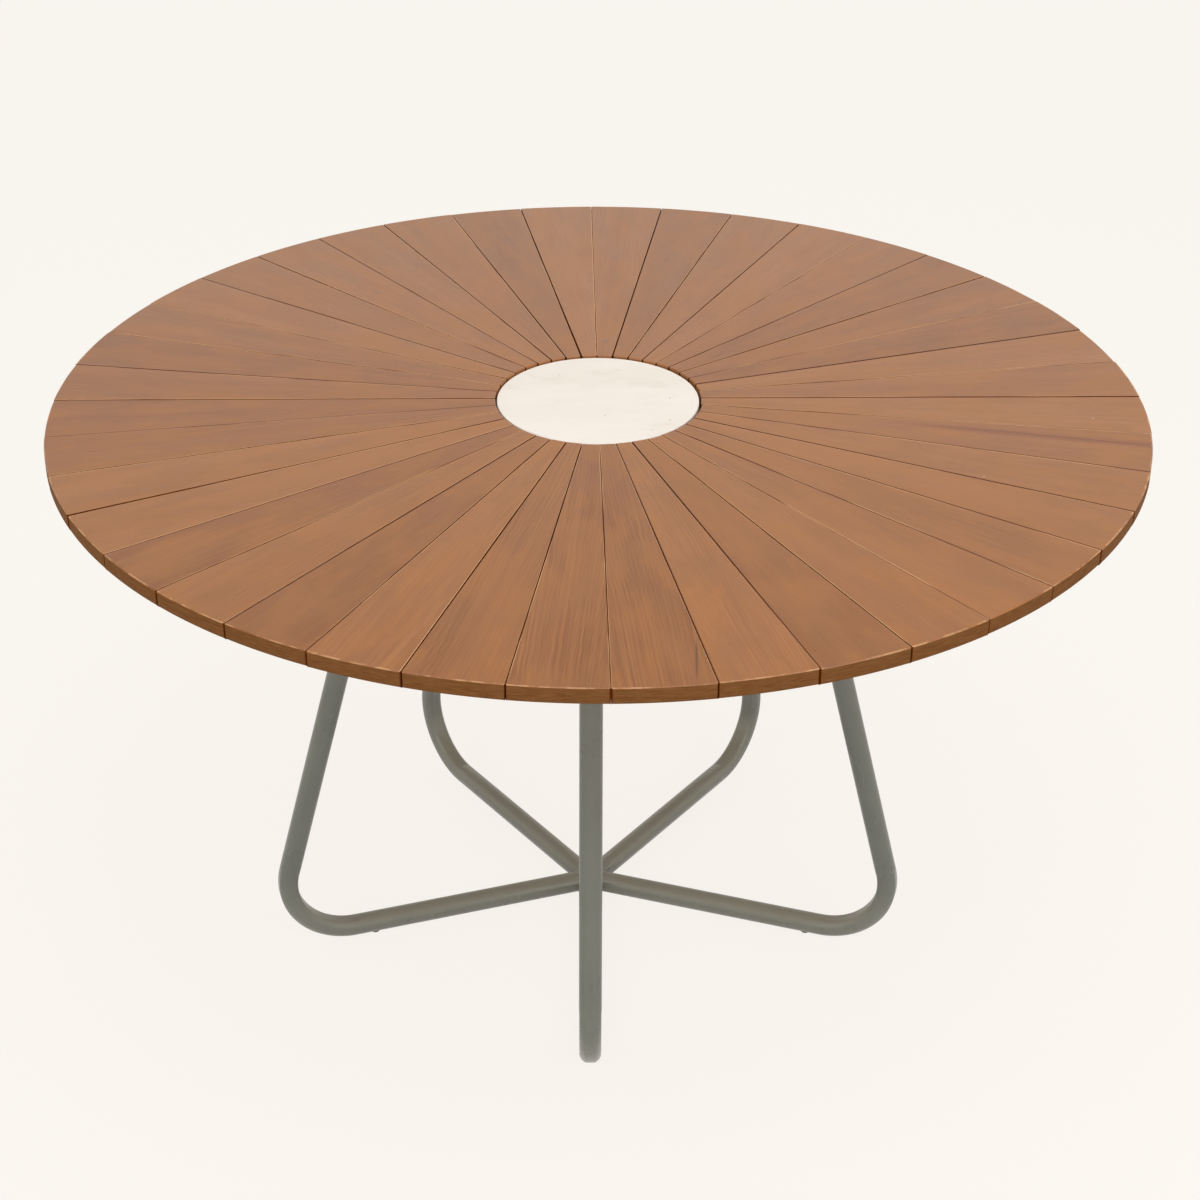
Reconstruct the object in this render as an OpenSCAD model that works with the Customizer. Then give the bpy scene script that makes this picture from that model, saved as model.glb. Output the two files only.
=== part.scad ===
// Round outdoor dining table, in millimetres.
// Forty tapered slats lie like spokes round a loose stone disc. They are screwed to two steel rings
// on five radial arms, and five bent tubes, welded together on the floor, carry the arms.
// The origin is on the floor under the middle of the top, +Z is up and -Y faces the viewer.

/* [Top] */
// Height of the table, floor to the top of the slats
table_h = 730; // [690:1:770]
// Diameter of the round top
top_d = 1300; // [1150:10:1500]
// Number of slats
slat_count = 40; // [30:1:40]
// Thickness of the slats
slat_t = 20; // [18:1:28]
// Width of the open gap between two slats
slat_gap = 1; // [0.6:0.1:3]
// Turn of the first gap line from the +X axis, degrees
slat_turn = 1.1; // [0:0.1:9]
// Diameter of the round hole that the inner ends of the slats leave
hole_d = 247; // [220:1:300]
// Radius on the upper edge of the rim and of the hole
edge_round = 2; // [1:0.5:3]
// Radius on the lower edge of the rim
under_round = 4; // [2:0.5:6]
// Width of the bevel along the long edges of each slat
slat_bevel = 0.8; // [0.5:0.1:1.5]

/* [Stone] */
// Thickness of the stone disc
stone_t = 16; // [12:0.5:17]
// Gap between the stone and the slats, all round
stone_gap = 2.5; // [1.5:0.25:4]
// Width of the bevel on the edges of the stone
stone_bevel = 1.5; // [0.5:0.25:3]
// Thickness of the rubber pads under the stone
pad_t = 2; // [1:0.5:3]
// Diameter of the rubber pads
pad_d = 16; // [10:1:18]
// Distance from the edge of the stone to the middle of the pads
pad_inset = 16; // [12:1:18]
// Gap left between the pads and the stone
pad_clearance = 0.3; // [0.2:0.1:0.6]

/* [Rings and arms] */
// Thickness of the two flat rings
ring_t = 4; // [3:0.5:6]
// How far the inner ring reaches out under the slats, from the hole
inner_ring_reach = 76.5; // [60:0.5:100]
// How far the inner ring reaches in under the stone, from the hole
inner_ring_lip = 38.5; // [37:0.5:46]
// Distance from the rim of the top to the outer ring
outer_ring_inset = 130; // [90:5:180]
// Width of the outer ring
outer_ring_w = 60; // [50:1:80]
// Width of the box arms
arm_w = 40; // [30:1:50]
// Height of the box arms
arm_h = 20; // [20:1:40]
// Wall of the box arms
arm_wall = 2; // [1.5:0.5:2.5]
// Radius on the long edges of the box arms
arm_round = 4; // [3:0.5:5]

/* [Legs] */
// Outside diameter of the leg tube
tube_d = 27; // [22:0.5:34]
// Wall of the leg tube
tube_wall = 2; // [1.5:0.25:3]
// Straight run along the floor, from the hub to the start of the bend
foot_run = 318; // [280:1:360]
// Radius of the bend, at the middle of the tube
bend_r = 84; // [60:1:110]
// How much thinner the bending leaves the tube, on the diameter
bend_squeeze = 0.6; // [0.4:0.1:1]
// How deep the bending flattens the outer side of the tube
bend_flat = 1.2; // [0.8:0.1:1.6]
// How deep the bending former presses in the inner side
bend_dent = 0.9; // [0.6:0.1:1.4]
// How far the riser leans inwards from upright, degrees
riser_lean = 14.9; // [11:0.1:18]
// How far the steel frame stands off the middle of the top, along X
frame_shift = -8; // [-10:1:10]
// How far the steel frame is turned about its own middle, degrees
frame_turn = 0.3; // [-2:0.1:2]
// Length of the flat plate on top of each riser
plate_l = 88; // [86:1:110]
// Thickness of that plate
plate_t = 5; // [4:0.5:8]
// Radius on the corners of that plate
plate_round = 6; // [3:0.5:10]

/* [Floor contact] */
// Diameter of the steel disc under the hub and of its pad
hub_d = 36; // [30:1:60]
// Thickness of the steel disc
hub_disc_t = 1.2; // [1:0.1:3]
// Thickness of the rubber pad below it
hub_pad_t = 0.8; // [0.6:0.1:2]
// Diameter of the floor glides
glide_d = 11; // [9:0.5:16]
// Diameter of the stem of a glide
glide_stem_d = 6; // [5:0.5:7]
// Distance from the start of the bend back to the glide
glide_inset = 20; // [10:1:60]

/* [Fasteners] */
// Shank diameter of the wood screws
screw_d = 4; // [3:0.5:5]
// Head diameter of the wood screws
screw_head_d = 9; // [8:0.5:10]
// Head height of the wood screws
screw_head_h = 3; // [2:0.5:4]
// How deep the wood screws go into a slat
screw_bite = 13; // [8:1:14]
// Distance from the end of the rings to the middle of the screws
screw_inset = 16.5; // [13:0.5:18]
// Shank diameter of the plate bolts
bolt_d = 8; // [6:1:8]
// Distance between the two bolts of a plate
bolt_pitch = 60; // [58:1:64]
// Length of the blind rivet nuts
nut_l = 13; // [10:1:14]

/* [Fits] */
// Gap round a shank or a stem in its hole, on the radius
hole_slack = 0.3; // [0.2:0.05:0.5]
// Gap round a screw in its pilot hole, on the radius
pilot_slack = 0.1; // [0.05:0.05:0.2]
// Least distance between an arm's end and a screw head
head_room = 4; // [2:0.5:8]

/* [Hidden] */
SIDES = ["front", "right", "back_right", "back_left", "left"];
$fn = 96;

// slats and stone
slat_pitch = 360 / slat_count;
slat_z = table_h - slat_t;
top_r = top_d / 2;
hole_r = hole_d / 2;
stone_r = hole_r - stone_gap;
stone_z = slat_z + pad_t + pad_clearance;

// rings and arms
ring_z = slat_z - ring_t;
inner_ring_r = hole_r + inner_ring_reach;
outer_ring_r = top_r - outer_ring_inset;
inner_screw_r = hole_r + screw_inset;
outer_screw_r = outer_ring_r - screw_inset;
screw_keep_off = screw_head_d / 2 + abs(frame_shift) + head_room;
arm_start = inner_screw_r + screw_keep_off;
arm_end = outer_screw_r - screw_keep_off;
arm_z = ring_z - arm_h;

// legs
leg_step = 360 / len(SIDES);
front_azimuth = 270 + frame_turn;
plate_z = arm_z - plate_t;
foot_z = hub_disc_t + hub_pad_t;
tube_z = foot_z + tube_d / 2;
bend_angle = 90 + riser_lean;
bend_overlap = 1;
bend_end_x = foot_run + bend_r * sin(bend_angle);
bend_end_z = tube_z + bend_r * (1 - cos(bend_angle));
riser_l = (plate_z - bend_end_z) / cos(riser_lean);
riser_top_x = bend_end_x - riser_l * sin(riser_lean);
glide_x = foot_run - glide_inset;

// fasteners
bolt_head_w = 1.625 * bolt_d;
bolt_head_h = 0.75 * bolt_d;
bolt_flange_d = 2 * bolt_d;
bolt_flange_t = 1.5;
nut_d = bolt_d + 3;
nut_bulge = 1;
nut_bulge_h = 4;
thread_slack = 0.1;
pilot_tip = 1;

// a length that reaches past everything, for cutting tools
far = top_d;

wood = [0.55, 0.36, 0.22];
stone_tone = [0.87, 0.84, 0.77];
steel = [0.45, 0.46, 0.42];
zinc = [0.66, 0.66, 0.64];
rubber = [0.09, 0.09, 0.09];
nylon = [0.20, 0.20, 0.19];

function slat_name(k) = str("slat_", k < 10 ? "0" : "", k);

// a steady spread of lighter and darker boards, from 0.86 to 1.14
function slat_tone(k) = 1 + 0.14 * sin(137.5 * k);

function leg_azimuth(i) = front_azimuth + i * leg_step;

// Turns a leg, arm or other piece made along +X to side i of the steel frame.
module on_side(i) {
    translate([frame_shift, 0, 0])
        rotate([0, 0, leg_azimuth(i)])
            children();
}

// Repeats a screw or its hole at the middle of every slat, at radius r.
module at_each_slat(r) {
    for (k = [1:slat_count]) {
        rotate([0, 0, slat_turn + (k - 0.5) * slat_pitch])
            translate([r, 0, 0])
                children();
    }
}

// Material to take off a square corner to round it; the corner is at the origin, the body below left.
module corner_waste(r) {
    difference() {
        translate([-r, -r]) square(r + 1);
        translate([-r, -r]) circle(r);
    }
}

// The half section of the whole top: a flat board with three rounded edges.
module top_section() {
    difference() {
        translate([hole_r, slat_z]) square([top_r - hole_r, slat_t]);
        translate([top_r, table_h]) corner_waste(edge_round);
        translate([top_r, slat_z]) mirror([0, 1]) corner_waste(under_round);
        translate([hole_r, table_h]) mirror([1, 0]) corner_waste(edge_round);
    }
}

// The space between two gap lines, less half a gap on each side.
module slat_wedge() {
    half = slat_gap / 2;
    near = half / tan(slat_pitch / 2);
    rotate([0, 0, slat_pitch / 2])
        linear_extrude(height = table_h + 1)
            polygon([
                [near, 0],
                [far, (far - near) * tan(slat_pitch / 2)],
                [far, -(far - near) * tan(slat_pitch / 2)]
            ]);
}

// A square bar that bevels one long edge of a slat, at height z on the flank that faces side (1 or -1).
module flank_bevel(side, z) {
    width = slat_bevel * sqrt(2);
    translate([far / 2, side * slat_gap / 2, z])
        rotate([45, 0, 0])
            cube([far, width, width], center = true);
}

// One slat between two gap lines, with bevelled long edges and two blind pilot holes below.
module slat(k) {
    color(wood * slat_tone(k))
    rotate([0, 0, slat_turn + (k - 1) * slat_pitch])
    difference() {
        intersection() {
            rotate_extrude($fn = 240) top_section();
            slat_wedge();
        }
        for (z = [slat_z, table_h]) {
            flank_bevel(1, z);
            rotate([0, 0, slat_pitch]) flank_bevel(-1, z);
        }
        for (r = [inner_screw_r, outer_screw_r]) {
            rotate([0, 0, slat_pitch / 2])
                translate([r, 0, slat_z - 1])
                    cylinder(d = screw_d + 2 * pilot_slack, h = screw_bite + pilot_tip + 1);
        }
    }
}

// The loose stone disc with bevelled edges. It rests on the rubber pads.
module centre_stone() {
    color(stone_tone)
    rotate_extrude($fn = 180)
        polygon([
            [0, stone_z],
            [stone_r - stone_bevel, stone_z],
            [stone_r, stone_z + stone_bevel],
            [stone_r, stone_z + stone_t - stone_bevel],
            [stone_r - stone_bevel, stone_z + stone_t],
            [0, stone_z + stone_t]
        ]);
}

// Five rubber pads glued on the inner ring.
module stone_pads() {
    color(rubber)
    for (i = [0:len(SIDES) - 1]) {
        rotate([0, 0, leg_azimuth(i)])
            translate([stone_r - pad_inset, 0, slat_z])
                cylinder(d = pad_d, h = pad_t, $fn = 48);
    }
}

// A flat ring centred on the steel frame, drilled for one circle of slat screws.
module flat_ring(outer_r, inner_r, screw_r) {
    color(steel)
    difference() {
        translate([frame_shift, 0, ring_z]) cylinder(r = outer_r, h = ring_t, $fn = 240);
        translate([frame_shift, 0, ring_z - 1]) cylinder(r = inner_r, h = ring_t + 2, $fn = 240);
        at_each_slat(screw_r)
            translate([0, 0, ring_z - 1])
                cylinder(d = screw_d + 2 * hole_slack, h = ring_t + 2, $fn = 24);
    }
}

module inner_ring() {
    flat_ring(inner_ring_r, hole_r - inner_ring_lip, inner_screw_r);
}

module outer_ring() {
    flat_ring(outer_ring_r, outer_ring_r - outer_ring_w, outer_screw_r);
}

// The two bolt places of one riser, along +X.
module at_each_bolt() {
    for (dx = [-bolt_pitch / 2, bolt_pitch / 2]) {
        translate([riser_top_x + dx, 0, 0]) children();
    }
}

// A rectangle about the origin with rounded corners.
module rounded_rectangle(x, y, r) {
    difference() {
        square([x, y], center = true);
        for (mx = [0, 1], my = [0, 1]) {
            mirror([mx, 0]) mirror([0, my]) translate([x / 2, y / 2]) corner_waste(r);
        }
    }
}

// The solid inside of a box arm, an inset smaller all round than its outside.
module arm_bar(inset) {
    translate([arm_start + inset, 0, arm_z + arm_h / 2])
        rotate([90, 0, 90])
            linear_extrude(height = arm_end - arm_start - 2 * inset)
                rounded_rectangle(arm_w - 2 * inset, arm_h - 2 * inset, arm_round - inset);
}

// A box arm with closed ends, drilled below for the two rivet nuts.
module arm(i) {
    color(steel)
    on_side(i)
    difference() {
        arm_bar(0);
        arm_bar(arm_wall);
        at_each_bolt()
            translate([0, 0, arm_z - 1])
                cylinder(d = nut_d + 2 * hole_slack, h = arm_wall + 2, $fn = 48);
    }
}

// The section of the tube in the bend: a little thinner, flat outside and pressed in inside.
module bend_section(d) {
    intersection() {
        circle(d = d - bend_squeeze);
        translate([bend_dent - d / 2, -d]) square([d - bend_dent - bend_flat, 2 * d]);
    }
}

// The path of a leg as a solid rod of diameter d: foot, bend and riser, along +X.
// The thinner bend runs a little way into the straight ends.
module leg_rod(d) {
    translate([0, 0, tube_z]) rotate([0, 90, 0]) cylinder(d = d, h = foot_run);
    translate([foot_run, 0, tube_z + bend_r])
        rotate([90, 0, 0])
            rotate([0, 0, -90 - bend_overlap])
                rotate_extrude(angle = bend_angle + 2 * bend_overlap, $fn = 192)
                    translate([bend_r, 0]) bend_section(d);
    translate([bend_end_x, 0, bend_end_z])
        rotate([0, -riser_lean, 0])
            cylinder(d = d, h = riser_l + tube_d);
}

// The sector that belongs to one leg at the hub, where the five tubes meet in mitres.
module mitre_sector() {
    linear_extrude(height = plate_z)
        polygon([[0, 0], [far, far * tan(leg_step / 2)], [far, -far * tan(leg_step / 2)]]);
}

// A bent tube, mitred at the hub, cut level under its plate and drilled for its glide.
module leg(i) {
    color(steel)
    on_side(i)
    difference() {
        intersection() {
            leg_rod(tube_d);
            mitre_sector();
        }
        leg_rod(tube_d - 2 * tube_wall);
        translate([glide_x, 0, 0]) cylinder(d = glide_stem_d + 2 * hole_slack, h = tube_z, $fn = 48);
    }
}

// Five flat plates on the tops of the risers, each with two bolt holes.
module leg_plates() {
    color(steel)
    for (i = [0:len(SIDES) - 1]) {
        on_side(i)
        difference() {
            translate([riser_top_x, 0, plate_z])
                linear_extrude(height = plate_t)
                    rounded_rectangle(plate_l, arm_w, plate_round);
            at_each_bolt()
                translate([0, 0, plate_z - 1])
                    cylinder(d = bolt_d + 2 * hole_slack, h = plate_t + 2, $fn = 48);
        }
    }
}

// A flange bolt from below; its seat is at the origin and the shank points up.
module flange_bolt() {
    translate([0, 0, -bolt_flange_t]) cylinder(d = bolt_flange_d, h = bolt_flange_t, $fn = 48);
    translate([0, 0, -bolt_flange_t - bolt_head_h])
        cylinder(d = bolt_head_w / cos(30), h = bolt_head_h, $fn = 6);
    cylinder(d = bolt_d, h = plate_t + nut_l, $fn = 48);
}

// A blind rivet nut with its bulge above a wall; its foot is at the origin.
module rivet_nut(wall) {
    difference() {
        union() {
            cylinder(d = nut_d, h = nut_l, $fn = 48);
            translate([0, 0, wall])
                cylinder(d = nut_d + 2 * (hole_slack + nut_bulge), h = nut_bulge_h, $fn = 48);
        }
        translate([0, 0, -1]) cylinder(d = bolt_d + 2 * thread_slack, h = nut_l + 2, $fn = 48);
    }
}

// Ten flange bolts and the ten rivet nuts that they go into.
module leg_fasteners() {
    color(zinc)
    for (i = [0:len(SIDES) - 1]) {
        on_side(i) {
            at_each_bolt() translate([0, 0, plate_z]) flange_bolt();
            at_each_bolt() translate([0, 0, arm_z]) rivet_nut(arm_wall);
        }
    }
}

// A wood screw from below, with a domed head; its seat is at the origin and the shank points up.
module wood_screw() {
    rotate_extrude($fn = 32)
        polygon([
            [0, -screw_head_h],
            [screw_head_d / 4, -screw_head_h],
            [screw_head_d / 2, -screw_head_h / 2],
            [screw_head_d / 2, 0],
            [screw_d / 2, 0],
            [screw_d / 2, ring_t + screw_bite - screw_d],
            [0, ring_t + screw_bite]
        ]);
}

module slat_screws() {
    color(zinc)
    for (r = [inner_screw_r, outer_screw_r]) {
        at_each_slat(r) translate([0, 0, ring_z]) wood_screw();
    }
}

// The steel disc that the five tubes are welded on.
module hub_disc() {
    color(steel)
    translate([frame_shift, 0, hub_pad_t]) cylinder(d = hub_d, h = hub_disc_t);
}

// The rubber pad glued below the disc.
module hub_pad() {
    color(rubber)
    translate([frame_shift, 0, 0]) cylinder(d = hub_d, h = hub_pad_t);
}

// Saddle-shaped plastic glides, each with a stem that goes up through the wall of the tube.
module floor_glides() {
    edge = foot_z / 4;
    rim_h = foot_z + tube_d / 8;
    color(nylon)
    for (i = [0:len(SIDES) - 1]) {
        on_side(i)
        translate([glide_x, 0, 0]) {
            difference() {
                rotate_extrude($fn = 48)
                    polygon([
                        [0, 0],
                        [glide_d / 2 - edge, 0],
                        [glide_d / 2, edge],
                        [glide_d / 2, rim_h],
                        [0, rim_h]
                    ]);
                translate([-glide_d, 0, tube_z])
                    rotate([0, 90, 0])
                        cylinder(r = tube_d / 2 + hole_slack, h = 2 * glide_d);
            }
            translate([0, 0, edge])
                cylinder(d = glide_stem_d, h = foot_z + 2 * tube_wall - edge, $fn = 48);
        }
    }
}

for (k = [1:slat_count]) {
    slat(k);
}
centre_stone();
stone_pads();
inner_ring();
outer_ring();
for (i = [0:len(SIDES) - 1]) {
    arm(i);
    leg(i);
}
leg_plates();
leg_fasteners();
slat_screws();
hub_disc();
hub_pad();
floor_glides();
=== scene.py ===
# %% [markdown]
# This lesson dresses a round outdoor dining table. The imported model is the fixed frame: it holds
# every piece at its real size and place. Here we build finer surfaces round it and give each piece
# its finish. Everything is in metres, +Z is up, and the photograph looks along +Y.

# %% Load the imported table
import math
import random

import bmesh
import bpy
from mathutils import Matrix, Quaternion, Vector


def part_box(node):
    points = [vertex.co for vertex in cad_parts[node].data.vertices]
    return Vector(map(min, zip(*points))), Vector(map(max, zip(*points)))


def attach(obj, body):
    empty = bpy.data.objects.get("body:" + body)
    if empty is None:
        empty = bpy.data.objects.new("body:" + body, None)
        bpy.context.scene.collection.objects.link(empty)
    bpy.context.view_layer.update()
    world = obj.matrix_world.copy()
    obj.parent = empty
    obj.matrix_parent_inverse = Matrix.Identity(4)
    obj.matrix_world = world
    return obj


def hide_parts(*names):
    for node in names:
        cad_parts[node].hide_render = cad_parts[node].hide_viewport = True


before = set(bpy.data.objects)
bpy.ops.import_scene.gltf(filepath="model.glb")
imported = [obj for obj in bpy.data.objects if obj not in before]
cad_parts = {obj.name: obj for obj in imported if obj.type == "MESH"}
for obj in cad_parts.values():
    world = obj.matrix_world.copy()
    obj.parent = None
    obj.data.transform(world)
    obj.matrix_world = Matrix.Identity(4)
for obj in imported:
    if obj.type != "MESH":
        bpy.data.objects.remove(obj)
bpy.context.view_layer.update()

# %% [markdown]
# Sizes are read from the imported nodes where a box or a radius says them, so the dressed pieces
# follow the frame. A slat is a sector of a ring, so its nearest and farthest points from the middle
# give the radius of the hole and of the rim. A few sizes of the bent tube can't be read from a box.
# They are written here once, as real sizes. Bent legs differ, so most feet are a few millimetres
# longer or shorter than the frame's.

# %% Sizes of the top and of the frame
def radii(node):
    """Smallest and largest distance of a node's points from the middle of the top."""
    far_out = [math.hypot(v.co.x, v.co.y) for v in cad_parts[node].data.vertices]
    return min(far_out), max(far_out)


SLATS = sorted(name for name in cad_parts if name.startswith("slat_") and name[5:].isdigit())
SLAT_PITCH = math.tau / len(SLATS)
HOLE_RADIUS, TOP_RADIUS = radii("slat_01")
SLAT_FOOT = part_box("slat_01")[0].z
TOP_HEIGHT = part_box("slat_01")[1].z
GAP_TURN = math.radians(1.1)

TUBE = 0.027
leg_low, leg_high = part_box("leg_front")
hub_low, hub_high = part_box("hub_disc")
FRAME_SHIFT = (hub_low.x + hub_high.x) / 2
TUBE_HEIGHT = leg_low.z + TUBE / 2
PLATE_FOOT = leg_high.z
FOOT_RUN = 0.318
RUN_ERRORS = {"front": 0.0, "right": -0.001, "back_right": -0.005, "back_left": -0.008, "left": 0.006}
BEND_RADIUS = 0.084
RISER_LEAN = math.radians(14.9)
FRAME_TURN = math.radians(0.3)
LEG_SIDES = list(RUN_ERRORS)
LEG_STEP = math.tau / len(LEG_SIDES)
print(f"{len(SLATS)} slats, top {2 * TOP_RADIUS:.3f} across, tube {TUBE * 1000:.1f} mm")

# %% [markdown]
# The camera comes first, so that every later choice is judged from the photograph's own place. Its
# place was worked out from the rim, the gap lines and the five feet. It stands 2.5 m in front of the
# middle of the table at 1.9 m, looks down at about 30 degrees and is turned a third of a degree.

# %% Camera
CAMERA_PLACE = Vector((0.003, -2.497, 1.897))
CAMERA_AIM = Vector((0.003, 0, 0.4506))
CAMERA_ROLL = 0.005
SENSOR_WIDTH = 36
FOCAL_LENGTH = 68.9
SEEN_TO = 100

camera_data = bpy.data.cameras.new("photo_camera")
camera_data.sensor_width = SENSOR_WIDTH
camera_data.lens = FOCAL_LENGTH
camera_data.clip_end = SEEN_TO
camera = bpy.data.objects.new("photo_camera", camera_data)
bpy.context.scene.collection.objects.link(camera)
camera.location = CAMERA_PLACE
facing = (CAMERA_AIM - CAMERA_PLACE).to_track_quat("-Z", "Y")
camera.rotation_euler = (facing @ Quaternion((0, 0, 1), CAMERA_ROLL)).to_euler()
bpy.context.scene.camera = camera
down = math.asin((CAMERA_PLACE - CAMERA_AIM).normalized().z)
print("camera looks down", round(math.degrees(down), 2))

# %% [markdown]
# A shader is a sum of many small nodes. Drawn by hand they turn into a tangle, so here one small
# class wraps a node's output, and Python's own operators add the Math nodes. That way
# 1 - grain * 0.3 reads as it would on paper. Every other kind of node comes from one method.

# %% A wrapper for shader sockets
# sockets of a Mix node in its colour mode: two colours among its inputs, and its output
MIX_FIRST, MIX_SECOND, MIX_RESULT = 6, 7, 2


class Wire:
    """An output socket of a shader node that can be used in sums."""

    def __init__(self, tree, socket=None):
        self.tree = tree
        self.socket = socket

    def node(self, kind, settings=None, values=None, out=0):
        """Adds a node. Settings come first, then each socket gets a number, a vector or a wire."""
        made = self.tree.nodes.new("ShaderNode" + kind)
        for name, value in (settings or {}).items():
            setattr(made, name, value)
        for name, value in (values or {}).items():
            if isinstance(value, Wire):
                self.tree.links.new(value.socket, made.inputs[name])
            else:
                made.inputs[name].default_value = value
        return Wire(self.tree, made.outputs[out] if made.outputs else None)

    def math(self, operation, *others):
        """A Math node on this wire and, for some operations, on more values."""
        return self.node("Math", {"operation": operation}, dict(enumerate((self,) + others)))

    def __add__(self, other):
        return self.math("ADD", other)

    def __sub__(self, other):
        return self.math("SUBTRACT", other)

    def __mul__(self, other):
        return self.math("MULTIPLY", other)

    def __rsub__(self, other):
        return self.node("Math", {"operation": "SUBTRACT"}, {0: other, 1: self})

    __radd__ = __add__
    __rmul__ = __mul__

    def ramp(self, low, high):
        """0 below low, 1 above high, and a smooth step between them."""
        limits = {"Value": self, "From Min": low, "From Max": high}
        return self.node("MapRange", {"interpolation_type": "SMOOTHSTEP"}, limits)

    def scaled(self, by):
        """The same vector, stretched by three factors."""
        return self.node("VectorMath", {"operation": "MULTIPLY"}, {0: self, 1: by})

    def moved(self, by):
        """The same vector with another one added."""
        return self.node("VectorMath", {"operation": "ADD"}, {0: self, 1: by})

    def length(self):
        """How long this vector is."""
        return self.node("VectorMath", {"operation": "LENGTH"}, {0: self}, out="Value")

    def vector(self, x, y, z):
        """A new vector of three numbers or wires."""
        return self.node("CombineXYZ", {}, {0: x, 1: y, 2: z})

    def split(self):
        """The X, Y and Z wires of this vector."""
        parts = self.node("SeparateXYZ", {}, {0: self})
        return [Wire(self.tree, out) for out in parts.socket.node.outputs]

    def noise(self, detail=2.0, roughness=0.5, scale=1.0):
        """Soft noise over this place, from 0 to 1."""
        values = {"Vector": self, "Scale": scale, "Detail": detail, "Roughness": roughness}
        return self.node("TexNoise", {}, values)

    def tint(self, first, second):
        """A colour that goes from the first to the second as this wire goes from 0 to 1."""
        colours = {0: self, MIX_FIRST: first, MIX_SECOND: second}
        return self.node("Mix", {"data_type": "RGBA"}, colours, out=MIX_RESULT)


def new_material(name, surface_values):
    """A material with one Principled shader. Returns it, a wire to build on and its shader node."""
    material = bpy.data.materials.new(name)
    material.use_nodes = True
    shader = material.node_tree.nodes["Principled BSDF"]
    for socket, value in surface_values.items():
        shader.inputs[socket].default_value = value
    return material, Wire(material.node_tree), shader


def feed(shader, socket, wire):
    """Drives one socket of the surface shader with a wire."""
    wire.tree.links.new(wire.socket, shader.inputs[socket])


def bumpy(start, height, depth):
    """A normal from a height wire; depth is how high a full step stands, in metres."""
    return start.node("Bump", {}, {"Strength": 1.0, "Distance": depth, "Height": height})


def spot(place, middle, reach, turn=0.0):
    """1 inside a small oval round a point and 0 outside it, with a soft edge."""
    offset = place.moved((-middle[0], -middle[1], 0))
    about = {"rotation_type": "Z_AXIS"}
    turned = offset.node("VectorRotate", about, {"Vector": offset, "Angle": turn})
    return 1 - turned.scaled((1 / reach[0], 1 / reach[1], 0)).length().ramp(0.45, 1.0)


def colour(red, green, blue):
    return (red, green, blue, 1)


print("wrapper ready")

# %% [markdown]
# The slats are a warm mid-brown hardwood with an oiled satin finish. Real boards differ: each has
# its own tone, its own growth rings and its own run of fibres. An image would repeat. Instead each
# slat's mesh carries its own place along and across the board, a board number and a tone. The
# number also sends each board to its own part of the noise.

# %% Where a point lies on its board
GRAIN_JUMP = 0.61
GRAIN_SPREAD = 3.0


def own_value(start, name, kind="Fac"):
    """One value that each slat's mesh carries: a number, or a vector if that is its kind."""
    return start.node("Attribute", {"attribute_name": "board_" + name}, out=kind)


class Board:
    """The wires that every layer of the wood finish starts from."""

    def __init__(self, start):
        self.start = start
        self.place = own_value(start, "place", "Vector")
        self.number = own_value(start, "number").math("ROUND")
        self.along, self.across, self.height = self.place.split()
        noise = start.node("TexWhiteNoise", {"noise_dimensions": "1D"}, {"W": self.number}, "Color")
        self.pith_beside, self.pith_below, self.rub_chance = noise.split()
        jump = start.vector(
            self.number * GRAIN_JUMP,
            self.pith_beside * GRAIN_SPREAD,
            self.pith_below * GRAIN_SPREAD,
        )
        self.grain_place = self.place.moved(jump)


print("the grain moves on by", GRAIN_JUMP, "m from board to board")

# %% [markdown]
# Growth rings are circles round a pith that lies beside and below the board. A board cut near the
# pith shows wide arches, and one cut far from it fine lines. Fibres are noise stretched along the
# board. They run in shallow waves, and the rings follow the same waves.

# %% Fibres and growth rings
RING_SPACING = 0.0034
WAVE_HEIGHT = 0.003
RING_WANDER = 0.035
PITH_TILT = 0.045


def uneven(place, stretch, detail=2.0, roughness=0.5):
    """Noise from about -0.5 to 0.5, stretched by three factors."""
    return place.scaled(stretch).noise(detail, roughness) - 0.5


def late_wood(board, wave, wander):
    """How dark the rings are: the distance from the pith decides, bent along the board."""
    beside = board.across + wave - (board.pith_beside * 0.11 + 0.035)
    below = board.height + (board.pith_below * 0.07 + 0.012) + board.along * PITH_TILT
    radius = board.start.vector(0.0, beside, below).length() + wander * RING_WANDER
    ring = (radius * (math.tau / RING_SPACING)).math("SINE")
    return (ring * 0.5 + 0.5).ramp(0.25, 1.0) - 0.45


class Grain:
    """The noises of the wood finish, from fibres to broad bands and clouds."""

    def __init__(self, board):
        place = board.grain_place
        wave = uneven(place, (24, 7, 7), detail=1.0) * WAVE_HEIGHT
        wavy_place = place.moved(board.start.vector(0.0, wave, 0.0))
        self.line = uneven(wavy_place, (3.0, 520, 520), detail=3.0, roughness=0.65)
        self.fibre = uneven(wavy_place, (14, 900, 900), roughness=0.6)
        self.band = uneven(place, (1.5, 30, 30))
        self.cloud = uneven(place, (9, 22, 22), detail=3.0, roughness=0.55)
        elsewhere = place.moved((7.0, 3.0, 0))
        self.dull = uneven(elsewhere, (12, 30, 30), detail=3.0, roughness=0.6)
        self.wander = uneven(place, (3.0, 7, 7), detail=1.0)
        self.late_wood = late_wood(board, wave, self.wander)
        # open pores: short dashes that only show from close by
        self.pore = place.scaled((55, 1500, 1500)).noise(detail=1.0).ramp(0.63, 0.72)


print("growth rings", RING_SPACING * 1000, "mm apart")

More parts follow.
